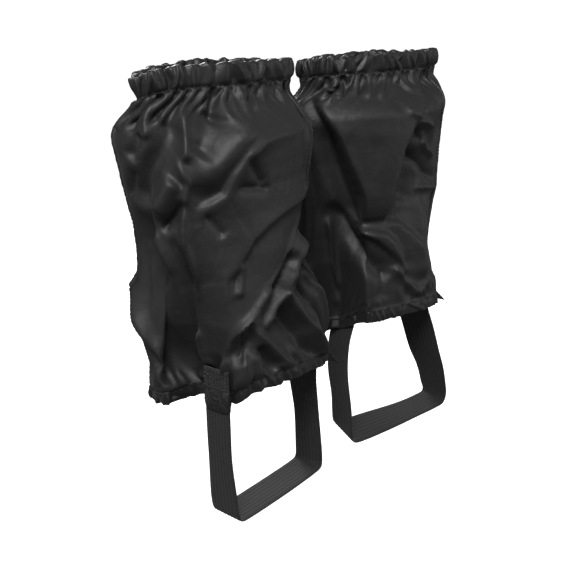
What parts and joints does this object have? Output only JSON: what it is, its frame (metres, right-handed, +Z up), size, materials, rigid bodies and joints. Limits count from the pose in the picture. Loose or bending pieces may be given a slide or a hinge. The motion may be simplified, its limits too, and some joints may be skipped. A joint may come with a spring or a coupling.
{
  "type": "gaiters",
  "caption": "Pair of short pull-on fabric gaiters with gathered elastic calf and hem casings and a ribbed webbing stirrup under each boot.",
  "frame": {"origin": "middle of the left gaiter's calf opening, in the plane of its top rim", "axes": "+X from the left gaiter towards the right one, -Y towards the toes, +Z up the leg"},
  "size_m": [0.3629, 0.1325, 0.346],
  "materials": {
    "nylon": "thin plain-weave black nylon with a soft sheen",
    "nylon_casing": "the same nylon, doubled and gathered over elastic",
    "nylon_seam": "felled nylon seam, two layers, stitched",
    "webbing": "ribbed dark grey-black elastic webbing",
    "thread": "black polyester sewing thread",
    "elastic": "flat braided elastic"
  },
  "bodies": {
    "left_gaiter": {"left_front_panel": "nylon", "left_back_panel": "nylon", "left_corner_seam": "nylon_seam", "left_plain_seam": "nylon_seam", "left_calf_casing": "nylon_casing", "left_calf_elastic": "elastic", "left_calf_stitching": "thread", "left_hem_casing": "nylon_casing", "left_hem_elastic": "elastic", "left_hem_stitching": "thread", "left_outer_tab": "webbing", "left_inner_tab": "webbing", "left_tab_stitching": "thread"},
    "left_stirrup": {"left_stirrup": "webbing"},
    "right_gaiter": {"right_front_panel": "nylon", "right_back_panel": "nylon", "right_corner_seam": "nylon_seam", "right_plain_seam": "nylon_seam", "right_calf_casing": "nylon_casing", "right_calf_elastic": "elastic", "right_calf_stitching": "thread", "right_hem_casing": "nylon_casing", "right_hem_elastic": "elastic", "right_hem_stitching": "thread", "right_outer_tab": "webbing", "right_inner_tab": "webbing", "right_tab_stitching": "thread"},
    "right_stirrup": {"right_stirrup": "webbing"}
  },
  "joints": [
    {"name": "left_stirrup_swing", "type": "hinge", "parent": "left_gaiter", "child": "left_stirrup", "pos_m": [0, -0.032, -0.258], "axis": [1, 0, 0], "range_deg": [-45, 45]},
    {"name": "right_gaiter_apart", "type": "slide", "parent": "left_gaiter", "child": "right_gaiter", "axis": [1, 0, 0], "range_m": [0, 0.3]},
    {"name": "right_stirrup_swing", "type": "hinge", "parent": "right_gaiter", "child": "right_stirrup", "pos_m": [0.17872, -0.03791, -0.258], "axis": [0.9659, -0.2588, 0], "range_deg": [-45, 45]}
  ]
}
